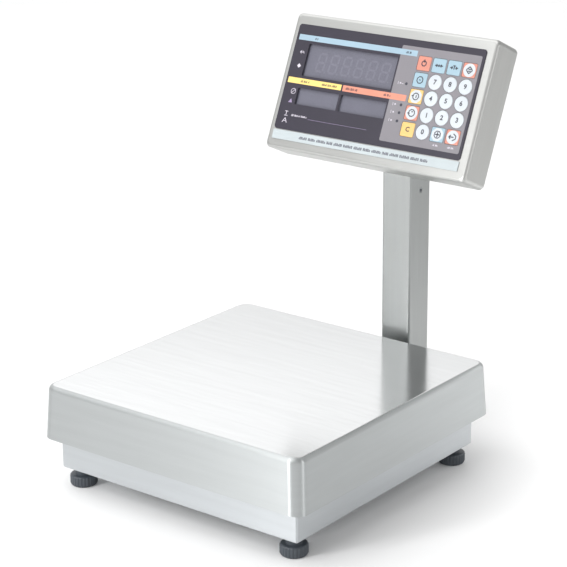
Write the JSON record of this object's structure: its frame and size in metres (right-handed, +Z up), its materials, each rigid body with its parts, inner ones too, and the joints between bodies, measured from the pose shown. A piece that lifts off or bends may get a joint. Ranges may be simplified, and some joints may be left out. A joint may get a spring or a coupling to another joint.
{
  "type": "bench scale",
  "caption": "Low stainless bench scale with a lift-off platter on a load cell, screw feet, and a column that holds a tilting display and keypad head.",
  "frame": {"origin": "middle of the whole scale's outline on the surface it stands on", "axes": "+Z up, +X to the user's right, +Y away from the user towards the column"},
  "size_m": [0.306, 0.3716, 0.4064],
  "materials": {
    "platter_steel": "satin brushed stainless steel",
    "frame_steel": "satin stainless steel",
    "column_steel": "satin stainless steel tube",
    "head_steel": "satin stainless steel",
    "bracket_steel": "zinc plated steel",
    "zinc_fastener": "zinc plated steel",
    "cell_aluminium": "machined and bead blasted",
    "pad_rubber": "matte",
    "foot_plastic": "ribbed moulded plastic",
    "cable_jacket": "satin jacket",
    "level_vial": "clear vial with yellow-green liquid",
    "overlay_film": "printed polyester film, soft sheen",
    "label_film": "printed film",
    "window_tint": "smoked clear plastic",
    "display_glass": "liquid crystal glass on a board",
    "circuit_board": "solder mask",
    "supply_cage": "folded sheet",
    "inlet_plastic": "moulded nylon",
    "key_white": "printed film over a key cap",
    "key_blue": "printed film over a key cap",
    "key_yellow": "printed film over a key cap",
    "key_coral": "printed film over a key cap"
  },
  "bodies": {
    "base": {"base_frame": "frame_steel", "column_bracket": "bracket_steel", "bracket_bolt_left": "zinc_fastener", "bracket_bolt_right": "zinc_fastener", "column": "column_steel", "column_bolt_lower": "zinc_fastener", "column_bolt_upper": "zinc_fastener", "pivot_screw_left": "zinc_fastener", "pivot_screw_right": "zinc_fastener", "load_cell": "cell_aluminium", "bubble_level": "level_vial", "signal_cable": "cable_jacket"},
    "live": {"live_frame": "bracket_steel", "platter_pad_front_left": "pad_rubber", "platter_pad_rear_left": "pad_rubber", "platter_pad_front_right": "pad_rubber", "platter_pad_rear_right": "pad_rubber"},
    "platter": {"platter": "platter_steel"},
    "foot_stud_front_left": {"foot_stud_front_left": "zinc_fastener"},
    "foot_knob_front_left": {"foot_knob_front_left": "foot_plastic"},
    "foot_stud_front_right": {"foot_stud_front_right": "zinc_fastener"},
    "foot_knob_front_right": {"foot_knob_front_right": "foot_plastic"},
    "foot_stud_rear_left": {"foot_stud_rear_left": "zinc_fastener"},
    "foot_knob_rear_left": {"foot_knob_rear_left": "foot_plastic"},
    "foot_stud_rear_right": {"foot_stud_rear_right": "zinc_fastener"},
    "foot_knob_rear_right": {"foot_knob_rear_right": "foot_plastic"},
    "head": {"front_case": "head_steel", "rear_cover": "head_steel", "overlay": "overlay_film", "label_strip": "label_film", "display_window": "window_tint", "display_module": "display_glass", "keypad_board": "circuit_board", "main_board": "circuit_board", "power_unit": "supply_cage", "power_inlet": "inlet_plastic", "head_bracket": "bracket_steel", "bracket_screw_lower": "zinc_fastener", "bracket_screw_upper": "zinc_fastener", "head_cable": "cable_jacket"},
    "key_power": {"key_power": "key_coral"},
    "key_zero": {"key_zero": "key_blue"},
    "key_tare": {"key_tare": "key_blue"},
    "key_total": {"key_total": "key_coral"},
    "key_preset_tare": {"key_preset_tare": "key_blue"},
    "key_7": {"key_7": "key_white"},
    "key_8": {"key_8": "key_white"},
    "key_9": {"key_9": "key_white"},
    "key_unit_price": {"key_unit_price": "key_yellow"},
    "key_4": {"key_4": "key_white"},
    "key_5": {"key_5": "key_white"},
    "key_6": {"key_6": "key_white"},
    "key_memory": {"key_memory": "key_coral"},
    "key_1": {"key_1": "key_white"},
    "key_2": {"key_2": "key_white"},
    "key_3": {"key_3": "key_white"},
    "key_clear": {"key_clear": "key_yellow"},
    "key_0": {"key_0": "key_white"},
    "key_add": {"key_add": "key_blue"},
    "key_transfer": {"key_transfer": "key_coral"}
  },
  "joints": [
    {"name": "weigh", "type": "slide", "parent": "base", "child": "live", "axis": [0, 0, 1], "range_m": [-0.00025, 0], "stiffness_N_per_m": 400000, "springref_m": 0.00015},
    {"name": "platter_lift", "type": "slide", "parent": "live", "child": "platter", "axis": [0, 0, 1], "range_m": [0, 0.08]},
    {"name": "head_tilt", "type": "hinge", "parent": "base", "child": "head", "pos_m": [0.0325, 0.14724, 0.249], "axis": [1, 0, 0], "range_deg": [-20, 10]},
    {"name": "foot_slide_front_left", "type": "slide", "parent": "base", "child": "foot_stud_front_left", "axis": [0, 0, -1], "range_m": [0, 0.012]},
    {"name": "foot_turn_front_left", "type": "hinge", "parent": "foot_stud_front_left", "child": "foot_knob_front_left", "pos_m": [-0.126, -0.15876, 0.006], "axis": [0, 0, -1], "range_deg": [0, 3456]},
    {"name": "foot_slide_front_right", "type": "slide", "parent": "base", "child": "foot_stud_front_right", "axis": [0, 0, -1], "range_m": [0, 0.012]},
    {"name": "foot_turn_front_right", "type": "hinge", "parent": "foot_stud_front_right", "child": "foot_knob_front_right", "pos_m": [0.126, -0.15876, 0.006], "axis": [0, 0, -1], "range_deg": [0, 3456]},
    {"name": "foot_slide_rear_left", "type": "slide", "parent": "base", "child": "foot_stud_rear_left", "axis": [0, 0, -1], "range_m": [0, 0.012]},
    {"name": "foot_turn_rear_left", "type": "hinge", "parent": "foot_stud_rear_left", "child": "foot_knob_rear_left", "pos_m": [-0.126, 0.09324, 0.006], "axis": [0, 0, -1], "range_deg": [0, 3456]},
    {"name": "foot_slide_rear_right", "type": "slide", "parent": "base", "child": "foot_stud_rear_right", "axis": [0, 0, -1], "range_m": [0, 0.012]},
    {"name": "foot_turn_rear_right", "type": "hinge", "parent": "foot_stud_rear_right", "child": "foot_knob_rear_right", "pos_m": [0.126, 0.09324, 0.006], "axis": [0, 0, -1], "range_deg": [0, 3456]},
    {"name": "press_power", "type": "slide", "parent": "head", "child": "key_power", "axis": [0, 0.91, -0.4147], "range_m": [0, 0.0005], "stiffness_N_per_m": 2000, "springref_m": -0.0005},
    {"name": "press_zero", "type": "slide", "parent": "head", "child": "key_zero", "axis": [0, 0.91, -0.4147], "range_m": [0, 0.0005], "stiffness_N_per_m": 2000, "springref_m": -0.0005},
    {"name": "press_tare", "type": "slide", "parent": "head", "child": "key_tare", "axis": [0, 0.91, -0.4147], "range_m": [0, 0.0005], "stiffness_N_per_m": 2000, "springref_m": -0.0005},
    {"name": "press_total", "type": "slide", "parent": "head", "child": "key_total", "axis": [0, 0.91, -0.4147], "range_m": [0, 0.0005], "stiffness_N_per_m": 2000, "springref_m": -0.0005},
    {"name": "press_preset_tare", "type": "slide", "parent": "head", "child": "key_preset_tare", "axis": [0, 0.91, -0.4147], "range_m": [0, 0.0005], "stiffness_N_per_m": 2000, "springref_m": -0.0005},
    {"name": "press_7", "type": "slide", "parent": "head", "child": "key_7", "axis": [0, 0.91, -0.4147], "range_m": [0, 0.0005], "stiffness_N_per_m": 2000, "springref_m": -0.0005},
    {"name": "press_8", "type": "slide", "parent": "head", "child": "key_8", "axis": [0, 0.91, -0.4147], "range_m": [0, 0.0005], "stiffness_N_per_m": 2000, "springref_m": -0.0005},
    {"name": "press_9", "type": "slide", "parent": "head", "child": "key_9", "axis": [0, 0.91, -0.4147], "range_m": [0, 0.0005], "stiffness_N_per_m": 2000, "springref_m": -0.0005},
    {"name": "press_unit_price", "type": "slide", "parent": "head", "child": "key_unit_price", "axis": [0, 0.91, -0.4147], "range_m": [0, 0.0005], "stiffness_N_per_m": 2000, "springref_m": -0.0005},
    {"name": "press_4", "type": "slide", "parent": "head", "child": "key_4", "axis": [0, 0.91, -0.4147], "range_m": [0, 0.0005], "stiffness_N_per_m": 2000, "springref_m": -0.0005},
    {"name": "press_5", "type": "slide", "parent": "head", "child": "key_5", "axis": [0, 0.91, -0.4147], "range_m": [0, 0.0005], "stiffness_N_per_m": 2000, "springref_m": -0.0005},
    {"name": "press_6", "type": "slide", "parent": "head", "child": "key_6", "axis": [0, 0.91, -0.4147], "range_m": [0, 0.0005], "stiffness_N_per_m": 2000, "springref_m": -0.0005},
    {"name": "press_memory", "type": "slide", "parent": "head", "child": "key_memory", "axis": [0, 0.91, -0.4147], "range_m": [0, 0.0005], "stiffness_N_per_m": 2000, "springref_m": -0.0005},
    {"name": "press_1", "type": "slide", "parent": "head", "child": "key_1", "axis": [0, 0.91, -0.4147], "range_m": [0, 0.0005], "stiffness_N_per_m": 2000, "springref_m": -0.0005},
    {"name": "press_2", "type": "slide", "parent": "head", "child": "key_2", "axis": [0, 0.91, -0.4147], "range_m": [0, 0.0005], "stiffness_N_per_m": 2000, "springref_m": -0.0005},
    {"name": "press_3", "type": "slide", "parent": "head", "child": "key_3", "axis": [0, 0.91, -0.4147], "range_m": [0, 0.0005], "stiffness_N_per_m": 2000, "springref_m": -0.0005},
    {"name": "press_clear", "type": "slide", "parent": "head", "child": "key_clear", "axis": [0, 0.91, -0.4147], "range_m": [0, 0.0005], "stiffness_N_per_m": 2000, "springref_m": -0.0005},
    {"name": "press_0", "type": "slide", "parent": "head", "child": "key_0", "axis": [0, 0.91, -0.4147], "range_m": [0, 0.0005], "stiffness_N_per_m": 2000, "springref_m": -0.0005},
    {"name": "press_add", "type": "slide", "parent": "head", "child": "key_add", "axis": [0, 0.91, -0.4147], "range_m": [0, 0.0005], "stiffness_N_per_m": 2000, "springref_m": -0.0005},
    {"name": "press_transfer", "type": "slide", "parent": "head", "child": "key_transfer", "axis": [0, 0.91, -0.4147], "range_m": [0, 0.0005], "stiffness_N_per_m": 2000, "springref_m": -0.0005}
  ],
  "couplings": [
    {"joint": "foot_turn_front_left", "follows": "foot_slide_front_left", "rad_per_m": 5026.5},
    {"joint": "foot_turn_front_right", "follows": "foot_slide_front_right", "rad_per_m": 5026.5},
    {"joint": "foot_turn_rear_left", "follows": "foot_slide_rear_left", "rad_per_m": 5026.5},
    {"joint": "foot_turn_rear_right", "follows": "foot_slide_rear_right", "rad_per_m": 5026.5}
  ]
}
